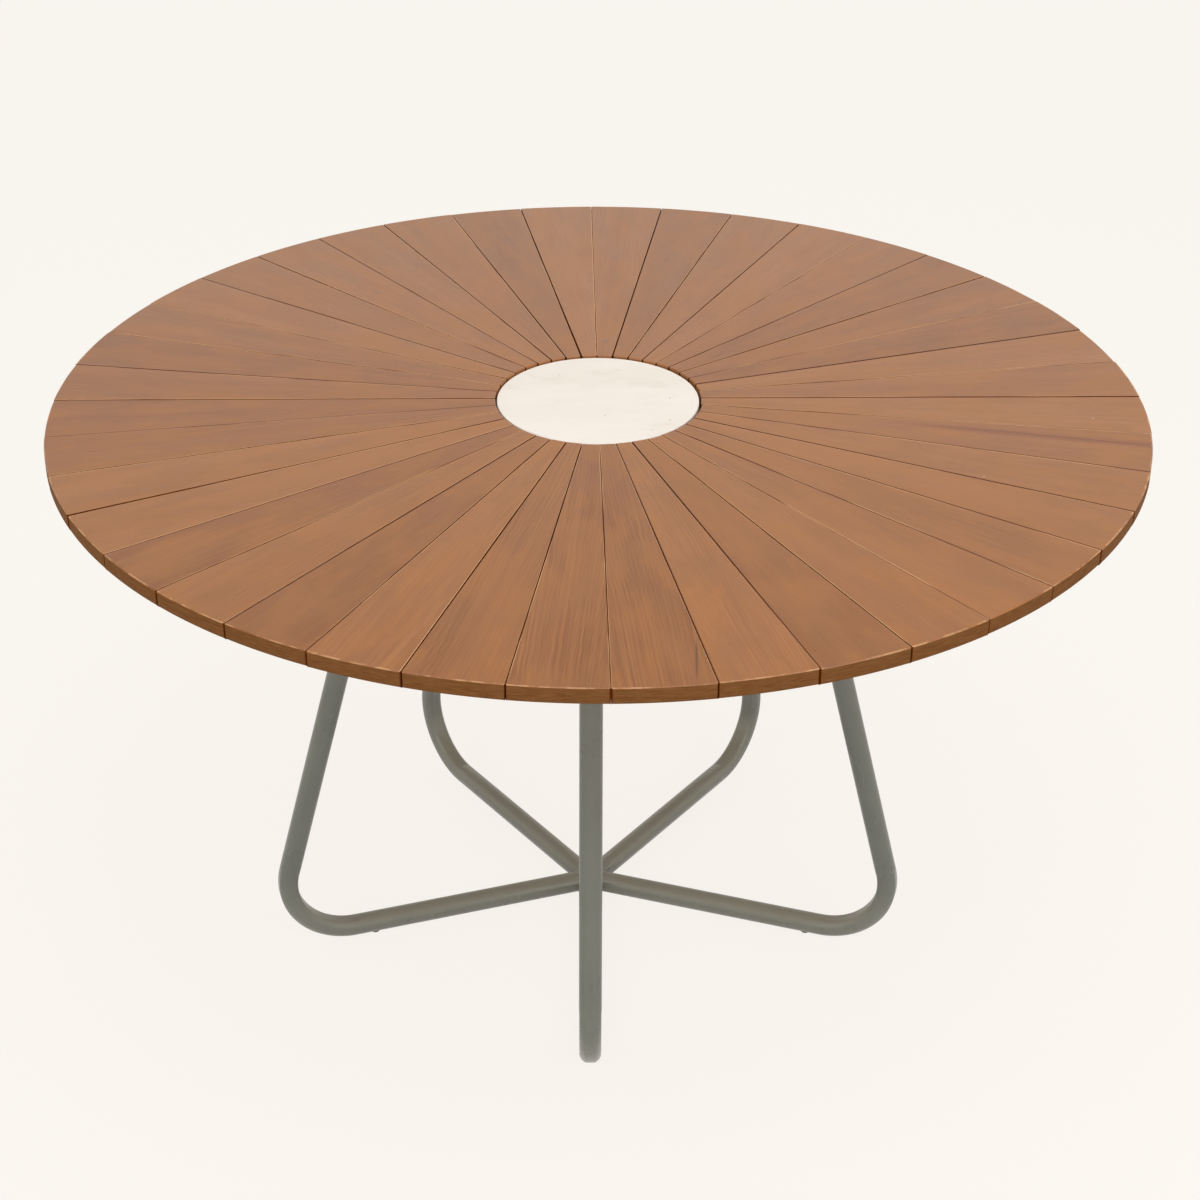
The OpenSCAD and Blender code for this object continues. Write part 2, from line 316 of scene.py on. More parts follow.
# %% [markdown]
# Use and weather mark the upper edges of a board, and light and shade are painted there too. One long
# edge is pale in places: partly rubbed, partly a painted highlight of the rounded edge. Along the
# flanks a dark band is painted shade that widens the gap line, and it is weaker on the pale side. The
# edge at the rim is rubbed and carries a painted highlight too. Masks choose these places. They are
# worked out from a point's distance to the flank, so they need no image and stay sharp from close by.
# Some gaps are aslant, so a board brings the slant of both its flanks.

# %% Worn edges of a board
GAP_WIDTH = 0.0008
STILL_PLACE = 0.30
UPPER_FACE = (0.0172, 0.0186)
# the rim's pale band: wear and a painted highlight
RIM_WEAR_AND_HIGHLIGHT = 0.0030


def edge_masks(board):
    """Masks for the painted gap shade, for the pale flank of wear and painted highlight, and for the
    rim.
    """
    low_slant, high_slant, _ = own_value(board.start, "slants", "Vector").split()
    on_high_side = board.across.ramp(-0.0001, 0.0001)
    slant = high_slant * on_high_side + low_slant * (1 - on_high_side)
    drift = slant * (board.along - STILL_PLACE)
    half_width = board.along * math.tan(SLAT_PITCH / 2) + drift - GAP_WIDTH / 2
    from_flank = half_width - board.across.math("ABSOLUTE")
    on_top = board.height.ramp(*UPPER_FACE)
    edge_band_width = own_value(board.start, "rub_and_highlight")
    # a band along each flank that carries wear, a painted highlight and painted gap shade
    edge_line = (1 - from_flank.ramp(edge_band_width * 0.6, edge_band_width)) * on_top

    side_chance = board.across.math("SIGN") * (board.rub_chance - 0.5)
    pale_side = side_chance.ramp(-0.24, -0.16)
    long_highlight_and_rub = board.grain_place.scaled((7, 40, 1)).noise(detail=2.0, roughness=0.5)
    # pale along one flank: partly rubbed, partly a painted highlight of the rounded edge
    near_flank = edge_line * pale_side * long_highlight_and_rub.ramp(0.38, 0.50)

    far_out = (board.along * board.along + board.across * board.across).math("SQRT")
    rub_and_highlight = board.grain_place.scaled((26, 26, 1)).noise(detail=3.0, roughness=0.7)
    at_rim = (far_out - (TOP_RADIUS - RIM_WEAR_AND_HIGHLIGHT)).ramp(0.0, 0.0010)
    # pale at the rim: partly rubbed, partly a painted highlight
    near_rim = at_rim * rub_and_highlight.ramp(0.44, 0.58) * on_top
    # the first mask is painted shade of the gap, weaker on the pale side
    return edge_line * (1 - pale_side * 0.7), near_flank, near_rim


# the band at the rim is wear and a painted highlight
print("rubbed at the rim over", RIM_WEAR_AND_HIGHLIGHT * 1000, "mm")

# %% [markdown]
# The finish itself is laid in layers, as on the real board: the tone and the rings, clouds and dull
# patches of the weather, pores, a streak of dark heartwood in one board, and the edges, which are
# worn and carry a painted highlight and painted gap shade. Last come a few marks that the photograph
# shows
# on single boards: a crack drawn as a dark line of painted shade, two grey scuffs and two pale
# specks.
# Oiled wood mirrors its surroundings unevenly, so the roughness follows the fibres.

# %% Oiled hardwood
# marks on single boards: board, place along and across, reach, turn, strength and colour
BOARD_MARKS = [
    # board 31: a crack, drawn as a dark line of painted shade
    (31, (0.603, 0.0385), (0.046, 0.0018), 0.121, 0.60, colour(0.110, 0.036, 0.012)),
    (10, (0.168, 0.001), (0.009, 0.005), 0.3, 0.45, colour(0.160, 0.125, 0.098)),
    (15, (0.435, 0.004), (0.010, 0.007), 0.0, 0.30, colour(0.170, 0.120, 0.085)),
    (40, (0.584, -0.0143), (0.0014, 0.0012), 0.0, 0.80, colour(0.74, 0.60, 0.46)),
    (38, (0.476, -0.0291), (0.0013, 0.0013), 0.0, 0.80, colour(0.74, 0.60, 0.46)),
]
STREAK_PLACE = 0.016


def heartwood_streak(board, grain):
    """A dark streak along one side of a board, stronger towards the rim."""
    aside = (board.across + grain.wander * 0.03 - STREAK_PLACE).math("ABSOLUTE")
    here = (1 - aside.ramp(0.0015, 0.0130)) * board.along.ramp(0.30, 0.46)
    return here * own_value(board.start, "streak") * (grain.line * 2.4 + 0.52)


def wood_material():
    material, start, shader = new_material("oiled_hardwood", {"IOR": 1.6})
    board = Board(start)
    grain = Grain(board)
    tone = own_value(start, "tone")
    figure = own_value(start, "figure")
    rings = grain.late_wood * (figure * (grain.band * 2.4 + 0.7))
    soft_line = grain.line * (figure * 1.30 + 0.12)
    dark = rings * 0.14 + soft_line + grain.fibre * 0.20 + grain.band * 0.42 + tone * 0.30
    base = (dark + 0.5).ramp(0.0, 1.0).tint(colour(0.432, 0.172, 0.053), colour(0.228, 0.073, 0.016))
    cloudy = (grain.cloud * 3.0 + 0.5).ramp(0.15, 0.85) * 0.50
    base = cloudy.tint(base, colour(0.405, 0.152, 0.032))
    dull = (grain.dull * 3.2 + 0.35).ramp(0.15, 0.85) * 0.36
    base = dull.tint(base, colour(0.285, 0.114, 0.038))
    base = (grain.pore * 0.22).tint(base, colour(0.125, 0.048, 0.016))
    base = heartwood_streak(board, grain).tint(base, colour(0.210, 0.055, 0.018))

    gap_shade_edge, near_flank, near_rim = edge_masks(board)
    # a dark band along the flanks: painted shade that widens the gap line
    base = (gap_shade_edge * 0.85).tint(base, colour(0.125, 0.028, 0.003))
    # pale bands along a flank and at the rim: wear and a painted highlight
    highlight_and_rub = near_flank * 0.72 + near_rim * 0.50
    base = highlight_and_rub.tint(base, colour(0.78, 0.43, 0.20))
    for number, middle, reach, turn, strength, shade in BOARD_MARKS:
        on_board = board.number.math("COMPARE", number, 0.1)
        base = (spot(board.place, middle, reach, turn) * on_board * strength).tint(base, shade)

    feed(shader, "Base Color", base)
    rough = 0.31 + grain.fibre * 0.12 + grain.cloud * 0.13 + highlight_and_rub * 0.15
    feed(shader, "Roughness", rough)
    relief = grain.fibre * 0.5 + grain.line * 0.5 + rings * 0.3 - grain.pore * 0.5
    feed(shader, "Normal", bumpy(start, relief, 0.00006))
    return material


hardwood = wood_material()
print("made", hardwood.name, "with", len(hardwood.node_tree.nodes), "nodes")

# %% [markdown]
# Inside the gaps the boards are bare sawn wood, which is dull. Its dark colour is painted shade, and
# the steep parts of the rounded edges along the gaps take it too, so the gap lines read dark. At the
# rim the end grain shows: cut fibres drink the oil, so it is darker than the face of the board. Both
# are the same noise, stretched along the fibres for a side and across them for an end.

# %% Sawn faces
def sawn_material(name, gloss, stretch, pale, dark):
    """Bare sawn wood: it is dull, and its fibres show as lines stretched over the given scale."""
    material, start, shader = new_material(name, {"Specular IOR Level": gloss})
    number = own_value(start, "number").math("ROUND")
    jump = start.vector(number * GRAIN_JUMP, number * 0.37, number * 0.23)
    place = own_value(start, "place", "Vector").moved(jump)
    fibre = place.scaled(stretch).noise(detail=3.0, roughness=0.6)
    feed(shader, "Base Color", fibre.ramp(0.3, 0.7).tint(pale, dark))
    feed(shader, "Roughness", 0.70 + fibre * 0.2)
    feed(shader, "Normal", bumpy(start, fibre, 0.0002))
    return material


# the dark colours of the gap sides are painted shade
shaded_sawn_side = sawn_material(
    "sawn_side_painted_shade", 0.0, (14, 1, 700), colour(0.170, 0.045, 0.008), colour(0.110, 0.026, 0.004)
)
end_grain = sawn_material(
    "oiled_end_grain", 0.12, (1, 60, 900), colour(0.235, 0.098, 0.030), colour(0.165, 0.062, 0.015)
)
print("made", shaded_sawn_side.name, "and", end_grain.name)

# %% [markdown]
# The disc in the middle is a honed pale travertine. Its layers run across the disc, so its clouds
# are stretched one way. Here and there a small pit or a grey fleck is left open.

# %% Honed travertine
# the flecks that the photograph shows: middle, reach and turn
STONE_FLECKS = [
    ((-0.0483, 0.0683), (0.0010, 0.0022), 0.0),
    ((0.0080, -0.0443), (0.0009, 0.0040), 0.3),
    ((0.0857, 0.0038), (0.0007, 0.0050), 0.1),
    ((0.0843, -0.0570), (0.0010, 0.0028), 0.2),
]


def stone_pits(place):
    """Small pits, only in the cells nearest to a few scattered points, and the grey flecks."""
    squeezed = place.scaled((1.0, 1.9, 1.0))
    cell = squeezed.node("TexVoronoi", {}, {"Vector": squeezed, "Scale": 34})
    chosen = squeezed.noise(detail=1.0, scale=23).ramp(0.62, 0.70)
    pit = (1 - cell.ramp(0.03, 0.085)) * chosen
    for middle, reach, turn in STONE_FLECKS:
        pit = pit + spot(place, middle, reach, turn)
    return pit


def stone_material():
    material, start, shader = new_material("honed_travertine", {"IOR": 1.5})
    place = start.node("TexCoord", out="Object")
    cloud = place.scaled((7, 16, 16)).noise(detail=4.0, roughness=0.6)
    layer = place.scaled((9, 60, 60)).noise(detail=3.0, roughness=0.6)
    crumb = place.noise(detail=3.0, roughness=0.7, scale=420)
    base = cloud.ramp(0.3, 0.7).tint(colour(0.925, 0.858, 0.780), colour(0.878, 0.802, 0.716))
    base = (layer.ramp(0.52, 0.72) * 0.35).tint(base, colour(0.895, 0.835, 0.765))
    base = (crumb.ramp(0.55, 0.8) * 0.16).tint(base, colour(0.68, 0.60, 0.52))

    # a thin vein: where slow noise passes through its middle value
    slow = uneven(place, (3.5, 8, 1), detail=3.0, roughness=0.6)
    vein = (1 - slow.math("ABSOLUTE").ramp(0.0, 0.016)) * cloud.ramp(0.45, 0.6)
    base = (vein * 0.22).tint(base, colour(0.70, 0.61, 0.52))
    pit = stone_pits(place)
    base = (pit * 0.50).tint(base, colour(0.40, 0.37, 0.33))

    feed(shader, "Base Color", base)
    feed(shader, "Roughness", 0.52 + (crumb - 0.5) * 0.25 + pit * 0.3)
    feed(shader, "Normal", bumpy(start, 1 - pit + crumb * 0.12, 0.0004))
    return material


travertine = stone_material()
print("made", travertine.name)

# %% [markdown]
# The steel is powder coated in a grey green. Powder melts into a skin with a faint orange peel and
# a satin gloss. The skin varies little, but where it is handled and kicked it is a bit duller. Faces
# that look up are painted paler and warmer: painted light, with a painted reflection of the warm
# underside of the top. The lowest part is painted paler as well: painted light bounced from the
# floor.

# %% Powder coat
# heights over which the painted light from the floor fades out
FLOOR_BOUNCE_HEIGHTS = (0.022, 0.15)


def coat_material():
    material, start, shader = new_material("grey_green_powder_coat", {"IOR": 1.5})
    place = start.node("TexCoord", out="Object")
    peel = place.noise(detail=2.0, roughness=0.5, scale=900)
    cloud = place.noise(detail=3.0, roughness=0.6, scale=14)
    scuff = place.scaled((60, 60, 22)).noise(detail=4.0, roughness=0.7)
    base = cloud.ramp(0.3, 0.7).tint(colour(0.158, 0.165, 0.140), colour(0.180, 0.187, 0.159))
    facing_up = start.node("NewGeometry", out="Normal").split()[2]
    # painted light on faces that look up, paler and warm like the reflection of the top's underside
    painted_upward_light = facing_up.ramp(0.05, 0.80) * (0.60 + scuff * 0.5)
    base = (painted_upward_light * 0.72).tint(base, colour(0.405, 0.385, 0.285))
    # painted light bounced from the floor: the lowest part is paler
    floor_bounce_light = (1 - place.split()[2].ramp(*FLOOR_BOUNCE_HEIGHTS)) * (0.7 + scuff * 0.5)
    base = (floor_bounce_light * 0.40).tint(base, colour(0.345, 0.345, 0.285))
    worn = scuff.ramp(0.58, 0.82)
    base = (worn * 0.08).tint(base, colour(0.25, 0.255, 0.225))
    feed(shader, "Base Color", base)
    feed(shader, "Roughness", 0.28 + (cloud - 0.5) * 0.12 + worn * 0.03 + painted_upward_light * 0.08)
    feed(shader, "Normal", bumpy(start, peel, 0.00005))
    return material


powder_coat = coat_material()
print("made", powder_coat.name)

# %% [markdown]
# Three plain finishes are left: zinc plate on the screws and bolts, soft black rubber on the pads
# and nylon on the glides. Each still has its own grain, because a perfectly even surface reads as
# plastic from a toy box.

# %% Zinc, rubber and nylon
def zinc_material():
    material, start, shader = new_material("zinc_plate", {"Metallic": 1.0})
    place = start.node("TexCoord", out="Object")
    spangle = place.noise(detail=3.0, roughness=0.6, scale=260)
    base = spangle.ramp(0.3, 0.7).tint(colour(0.50, 0.50, 0.47), colour(0.64, 0.64, 0.61))
    feed(shader, "Base Color", base)
    feed(shader, "Roughness", 0.32 + spangle * 0.22)
    feed(shader, "Normal", bumpy(start, spangle, 0.00003))
    return material


def grained_plastic(name, dark, pale, rough, grain_scale):
    material, start, shader = new_material(name, {"IOR": 1.48})
    place = start.node("TexCoord", out="Object")
    grain = place.noise(detail=3.0, roughness=0.6, scale=grain_scale)
    feed(shader, "Base Color", grain.ramp(0.3, 0.75).tint(dark, pale))
    feed(shader, "Roughness", rough + (grain - 0.5) * 0.2)
    feed(shader, "Normal", bumpy(start, grain, 0.00006))
    return material


zinc = zinc_material()
rubber = grained_plastic(
    "black_rubber", colour(0.012, 0.012, 0.012), colour(0.03, 0.029, 0.027), 0.75, 500
)
nylon = grained_plastic(
    "dark_nylon", colour(0.085, 0.086, 0.082), colour(0.130, 0.131, 0.126), 0.45, 700
)
print("made", zinc.name, rubber.name, nylon.name)

# %% [markdown]
# A slat starts as its outline seen from above: two long flanks, the arc of the rim and the arc of
# the hole. The maker saws each board a little differently and the sun bends it a little, so every
# gap line has its own width at the hole, at the bend place and at the rim. Some lines are aslant:
# they turn about a still place part of the way out. Angles are counted from the slat's own middle,
# which lies along +X while we build it.

# %% Outline of one slat
RIM_STEPS = 12
HOLE_STEPS = 3
BEND_PLACE = 0.35


def polar(radius, angle):
    return Vector((radius * math.cos(angle), radius * math.sin(angle)))


def flank(line, side, hole_radius, rim_radius):
    """Three points of a flank, hole to rim, on one side (1 or -1) of its gap line."""
    angle, slant, widths = line
    points = []
    for radius, width in zip((hole_radius, BEND_PLACE, rim_radius), widths):
        aside = slant * (radius - STILL_PLACE) + side * width / 2
        points.append(polar(radius, angle + math.asin(aside / radius)))
    return points


def arc(first, last, steps):
    """Points on the arc from the first point to the last, both included."""
    radius, low = first.length, math.atan2(first.y, first.x)
    turn = math.atan2(last.y, last.x) - low
    return [polar(radius, low + turn * i / steps) for i in range(steps + 1)]


def slat_outline(before, after, hole_radius, rim_radius):
    """Corners counterclockwise from the first rim corner, between the gap lines before and after."""
    near = flank(before, 1, hole_radius, rim_radius)
    far = flank(after, -1, hole_radius, rim_radius)
    rim = arc(near[2], far[2], RIM_STEPS)
    hole = arc(far[0], near[0], HOLE_STEPS)
    return rim + [far[1]] + hole + [near[1]]


print("outline points of a slat:", RIM_STEPS + HOLE_STEPS + 4)

# %% [markdown]
# The outline is pulled up to a prism. Its faces are made by hand in bmesh, because then we know
# which edge is which and can weight it for the Bevel modifier. The lower edge of the rim is rounded
# most, as on the real boards, and the long flanks only a little.

# %% Prism of a slat
EDGE_ROUND = 0.0045
# each kind of edge takes its share of the full rounding
RIM_UNDER = 0.95
RIM_TOP = 0.26
FLANK = 0.09
HOLE_TOP = 0.30
UPRIGHT = 0.34


def faces_between(bm, low, high):
    """Faces all round between two rings of points. A ring may also be one point, for a cone."""
    for i in range(max(len(low), len(high))):
        j = i + 1
        corners = [low[i % len(low)], low[j % len(low)], high[j % len(high)], high[i % len(high)]]
        bm.faces.new(list(dict.fromkeys(corners)))


def prism(outline, low, top_at):
    """A bmesh prism over an outline; top_at gives the height of the upper face at a point."""
    bm = bmesh.new()
    under = [bm.verts.new((p.x, p.y, low)) for p in outline]
    over = [bm.verts.new((p.x, p.y, top_at(p))) for p in outline]
    bm.faces.new(list(reversed(under)))
    bm.faces.new(over)
    faces_between(bm, under, over)
    return bm, under, over


def weigh_edges(bm, under, over):
    """Gives each edge of the prism its share of the full rounding."""
    weight = bm.edges.layers.float.new("bevel_weight_edge")
    count = len(under)
    hole_first = RIM_STEPS + 2
    hole_last = hole_first + HOLE_STEPS
    for i in range(count):
        j = (i + 1) % count
        on_rim = i < RIM_STEPS
        on_hole = hole_first <= i < hole_last
        over_share = RIM_TOP if on_rim else HOLE_TOP if on_hole else FLANK
        bm.edges.get([under[i], under[j]])[weight] = RIM_UNDER if on_rim else FLANK
        bm.edges.get([over[i], over[j]])[weight] = over_share
    for i in (0, RIM_STEPS, hole_first, hole_last):
        bm.edges.get([under[i], over[i]])[weight] = UPRIGHT


print("full rounding", EDGE_ROUND * 1000, "mm")

# %% [markdown]
# The Bevel modifier rounds the weighted edges, and its result replaces the plain prism, so that
# the finish can be stored on the real points. The long arcs are shaded smooth, but level faces stay
# flat, because a smooth edge would make them look puffed up.

# %% Shape of a slat
ROUND_SEGMENTS = 4
SHARP_ANGLE = 35
LEVEL = 0.999


def mesh_from(bm, name):
    """Writes the bmesh to a new mesh and frees it."""
    mesh = bpy.data.meshes.new(name)
    bm.to_mesh(mesh)
    bm.free()
    return mesh


def new_object(name, mesh, material):
    piece = bpy.data.objects.new(name, mesh)
    bpy.context.scene.collection.objects.link(piece)
    mesh.materials.append(material)
    return piece


def apply_modifiers(piece):
    """Replaces the piece's mesh by its finished one."""
    graph = bpy.context.evaluated_depsgraph_get()
    done = bpy.data.meshes.new_from_object(piece.evaluated_get(graph))
    piece.modifiers.clear()
    old = piece.data
    piece.data = done
    bpy.data.meshes.remove(old)


def shade_by_angle(piece, degrees=SHARP_ANGLE):
    """Smooth shading, but level faces stay flat and edges over this angle stay sharp."""
    mesh = piece.data
    mesh.shade_smooth()
    for face in mesh.polygons:
        face.use_smooth = abs(face.normal.z) < LEVEL
    bm = bmesh.new()
    bm.from_mesh(mesh)
    for edge in bm.edges:
        if len(edge.link_faces) == 2 and edge.calc_face_angle(0) > math.radians(degrees):
            edge.smooth = False
    bm.to_mesh(mesh)
    bm.free()


def eased_slat(node, before, after, manner):
    """A slat with rounded edges and its middle along +X."""
    outline = slat_outline(before, after, HOLE_RADIUS + manner["hole"], TOP_RADIUS - manner["rim"])

    def top_at(p):
        return TOP_HEIGHT - manner["low"] - manner["tip"] * (p.x / TOP_RADIUS)

    bm, under, over = prism(outline, SLAT_FOOT, top_at)
    weigh_edges(bm, under, over)
    piece = new_object("wood_" + node, mesh_from(bm, "raw_slat"), hardwood)
    bevel = piece.modifiers.new("eased edges", "BEVEL")
    bevel.limit_method = "WEIGHT"
    bevel.width = EDGE_ROUND
    bevel.segments = ROUND_SEGMENTS
    apply_modifiers(piece)
    piece.data.name = "wood_" + node
    return piece


print("an edge is rounded in", ROUND_SEGMENTS, "segments")

# %% [markdown]
# Each face of a slat takes one of three finishes, chosen by the way it looks. Each point is told
# where it lies on its board and what the board is like. These values are stored on the mesh, and
# the wood finish reads them. About half of the boards are laid the other way round, so their grain
# runs mirrored.

# %% Build a slat
OILED, RAW, END = 0, 1, 2
RIM_DEPTH = 0.006


def mark_points(mesh, name, values):
    """Stores one number, or one vector, for each point of the mesh."""
    vectors = isinstance(values[0], tuple)
    layer = mesh.attributes.new(name, "FLOAT_VECTOR" if vectors else "FLOAT", "POINT")
    flat = [c for v in values for c in v] if vectors else values
    layer.data.foreach_set("vector" if vectors else "value", flat)


def sawn_face(face):
    """Which finish a slat's face takes: oiled, raw with painted shade inside a gap, or end grain at
    the rim.
    """
    aside = abs(face.normal.y)
    # faces turned into a gap, and the steep parts of their rounded edges, take the painted shade
    if aside > 0.45 or (face.normal.z > 0 and aside > 0.25):
        return RAW
    upright = -0.95 < face.normal.z < 0.45
    return END if upright and face.center.xy.length > TOP_RADIUS - RIM_DEPTH else OILED


def mark_board(mesh, before, after, manner):
    """Stores the board's values on its points."""
    way = manner["way"]
    points = [v.co.copy() for v in mesh.vertices]
    mark_points(mesh, "board_place", [(p.x, p.y * way, p.z - SLAT_FOOT) for p in points])
    slants = (-before[1], after[1]) if way > 0 else (after[1], -before[1])
    mark_points(mesh, "board_slants", [(*slants, 0.0)] * len(points))
    for name in ("number", "tone", "figure", "streak", "rub_and_highlight"):
        mark_points(mesh, "board_" + name, [manner[name]] * len(points))


def about_z(angle):
    """The matrix of a turn about the upright axis."""
    return Quaternion((0, 0, 1), angle).to_matrix().to_4x4()


def build_slat(node, before, after, manner):
    """One slat, built with its middle along +X and turned to its place."""
    piece = eased_slat(node, before, after, manner)
    mesh = piece.data
    mesh.materials.append(shaded_sawn_side)
    mesh.materials.append(end_grain)
    for face in mesh.polygons:
        face.material_index = sawn_face(face)
    mark_board(mesh, before, after, manner)
    mesh.transform(about_z(manner["middle"]))
    shade_by_angle(piece)
    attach(piece, "table")
    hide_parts(node)
    return piece


print("ready to build the slats")

# %% [markdown]
# Now all the slats. A seeded random draw gives every gap line its widths and every board its tone.
# What the photograph shows for single lines and boards is listed one by one: one gap at the left
# opens towards the rim, two are nearly closed and a few others a little wider or narrower, and seven
# lines at the front are aslant. Seven boards, most at the front, have a strong figure, five have a
# tone of their own, and one at the right has a reddish streak. Boards at the sides get a wider edge
# band, which holds wear, painted highlight and painted gap shade.

# %% All the slats
GAP_SPREAD = 0.0004
GAP_DRIFT = 0.0008
LEAST_GAP = 0.0003
# what is added to a gap's width at the hole, at the bend place and at the rim
OTHER_GAPS = {
    10: (-0.0005, -0.0005, -0.0005),
    11: (0.0008, 0.0004, 0.0),
    23: (0.0, 0.0003, 0.0021),
    28: (0.0, 0.0002, 0.0004),
    30: (-0.0005, -0.0005, -0.0005),
    31: (-0.0003, -0.0003, -0.0004),
    32: (0.0006, 0.0, -0.0003),
}
SLANTS = {29: 0.007, 30: 0.004, 31: 0.0095, 32: 0.0125, 33: 0.0115, 34: 0.007, 35: 0.004}
STREAKED = {39: 1.0}
STRONG_FIGURE = {25: 0.5, 26: 0.4, 28: 0.6, 29: 0.65, 30: 1.0, 31: 0.9, 32: 0.5}
MARKED = {mark[0] for mark in BOARD_MARKS} | set(STREAKED)
TONES = {30: 0.42, 31: 0.40, 32: -0.45, 39: -0.1, 40: -0.4}
# the band along the flanks is wider on boards at the sides: wear, painted highlight and painted gap
# shade
EDGE_BAND_LEAST = 0.0008
EDGE_BAND_MORE = 0.0007
SEED = 11

draw = random.Random(SEED)
gap_lines = []
for line in range(len(SLATS)):
    extra = OTHER_GAPS.get(line, (0.0, 0.0, 0.0))
    drawn = [GAP_WIDTH + draw.uniform(-GAP_SPREAD, GAP_SPREAD) + more for more in extra]
    widths = [max(LEAST_GAP, width) for width in drawn]
    gap_lines.append((draw.uniform(-GAP_DRIFT, GAP_DRIFT), SLANTS.get(line, 0.0), widths))

slat_pieces = []
for index, node in enumerate(SLATS):
    turn_before, *rest_before = gap_lines[index]
    turn_after, *rest_after = gap_lines[(index + 1) % len(SLATS)]
    before = (turn_before - SLAT_PITCH / 2, *rest_before)
    after = (turn_after + SLAT_PITCH / 2, *rest_after)
    number = index + 1
    middle = GAP_TURN + (index + 0.5) * SLAT_PITCH
    # how this board differs from the others
    manner = {
        "middle": middle,
        "number": float(number),
        "tone": TONES.get(number, draw.uniform(-0.5, 0.5)),
        "figure": STRONG_FIGURE.get(number, draw.uniform(0.05, 0.35)),
        "way": 1 if number in MARKED else draw.choice((-1, 1)),
        "hole": draw.uniform(-0.0006, 0.0011),
        "rim": draw.uniform(0.0001, 0.0015),
        "low": draw.uniform(0.0, 0.0003),
        "tip": draw.uniform(0.0, 0.0005),
        "streak": STREAKED.get(number, 0.0),
        # wider band of wear, painted highlight and painted gap shade on boards at the sides
        "rub_and_highlight": EDGE_BAND_LEAST + EDGE_BAND_MORE * abs(math.cos(middle)),
    }
    slat_pieces.append(build_slat(node, before, after, manner))
face_count = sum(len(piece.data.polygons) for piece in slat_pieces)
print("made", len(slat_pieces), "slats,", face_count, "faces")

# %% [markdown]
# The stone disc is turned from a half section: a list of (radius, height) points spun round the
# middle. Its edges are rounded, not sharp, because honed stone chips. It lies half a millimetre off
# the middle of its hole, as a loose disc does. It rides on its own body, so it lifts out.

# %% Stone disc
CORNER_STEPS = 5
STONE_ROUND = 0.0014
STONE_STEPS = 128
STONE_ASIDE = -0.0006


def spun(name, section, steps, material):
    """A closed solid of revolution; the section starts and ends on the axis."""
    bm = bmesh.new()
    rings = []
    for radius, height in section:
        turns = [math.tau * i / steps for i in range(steps)] if radius else [0.0]
        ring = [(radius * math.cos(a), radius * math.sin(a), height) for a in turns]
        rings.append([bm.verts.new(point) for point in ring])
    for low, high in zip(rings, rings[1:]):
        faces_between(bm, low, high)
    bmesh.ops.recalc_face_normals(bm, faces=bm.faces)
    return new_object(name, mesh_from(bm, name), material)


def rounded_corner(radius, height, r, lower):
    """A quarter round of radius r at the lower or the upper corner of the disc's section."""
    quarter = [math.pi / 2 * i / CORNER_STEPS for i in range(CORNER_STEPS + 1)]
    if lower:
        return [(radius - r + r * math.sin(a), height + r - r * math.cos(a)) for a in quarter]
    return [(radius - r + r * math.cos(a), height - r + r * math.sin(a)) for a in quarter]


stone_low, stone_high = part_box("centre_stone")
STONE_RADIUS = radii("centre_stone")[1]
middle_ring = STONE_RADIUS * 0.5
stone_section = [(0, stone_low.z), (middle_ring, stone_low.z)]
stone_section += rounded_corner(STONE_RADIUS, stone_low.z, STONE_ROUND, True)
stone_section += rounded_corner(STONE_RADIUS, stone_high.z, STONE_ROUND, False)
stone_section += [(middle_ring, stone_high.z), (0, stone_high.z)]
stone = spun("travertine_disc", stone_section, STONE_STEPS, travertine)
stone.data.transform(Matrix.Translation((STONE_ASIDE, 0, 0)))
shade_by_angle(stone)
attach(stone, "stone")
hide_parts("centre_stone")
print("stone disc", round(2000 * STONE_RADIUS), "mm across")

# %% [markdown]
# A leg is one tube. It runs along the floor, bends up and leans back in. A press bends such a tube
# in a grooved former, and that leaves marks: all four sides of the bend are pressed a little flat,
# and a small step shows where the straight tube starts. A swept section that changes along the path
# gives all of this. The plates stand where they stand, so a leg with a longer or shorter foot leans
# a little more or less. Halving the interval again and again finds that lean.

# %% The path and the section of a leg
BEND_STEPS = 40
STRAIGHT_STEPS = 6
ROUND_STEPS = 48
FLAT_OUT = 0.0012
FLAT_IN = 0.0020
FLAT_SIDE = 0.0004
KINK_RUN = 0.004
PRESS_START = 0.75
PRESS_GROWTH = 10
LEAN_RANGE = 0.1
HALVINGS = 40


def riser_top(run, lean):
    """How far out the riser meets its plate."""
    out = run + BEND_RADIUS * math.cos(lean)
    height = TUBE_HEIGHT + BEND_RADIUS * (1 + math.sin(lean))
    return out - (PLATE_FOOT - height) * math.tan(lean)


def lean_to_plate(run):
    """The lean at which a foot of this run still brings its riser to the same plate."""
    low, high = RISER_LEAN - LEAN_RANGE, RISER_LEAN + LEAN_RANGE
    for _ in range(HALVINGS):
        lean = (low + high) / 2
        too_far_out = riser_top(run, lean) > riser_top(FOOT_RUN, RISER_LEAN)
        low, high = (lean, high) if too_far_out else (low, lean)
    return lean


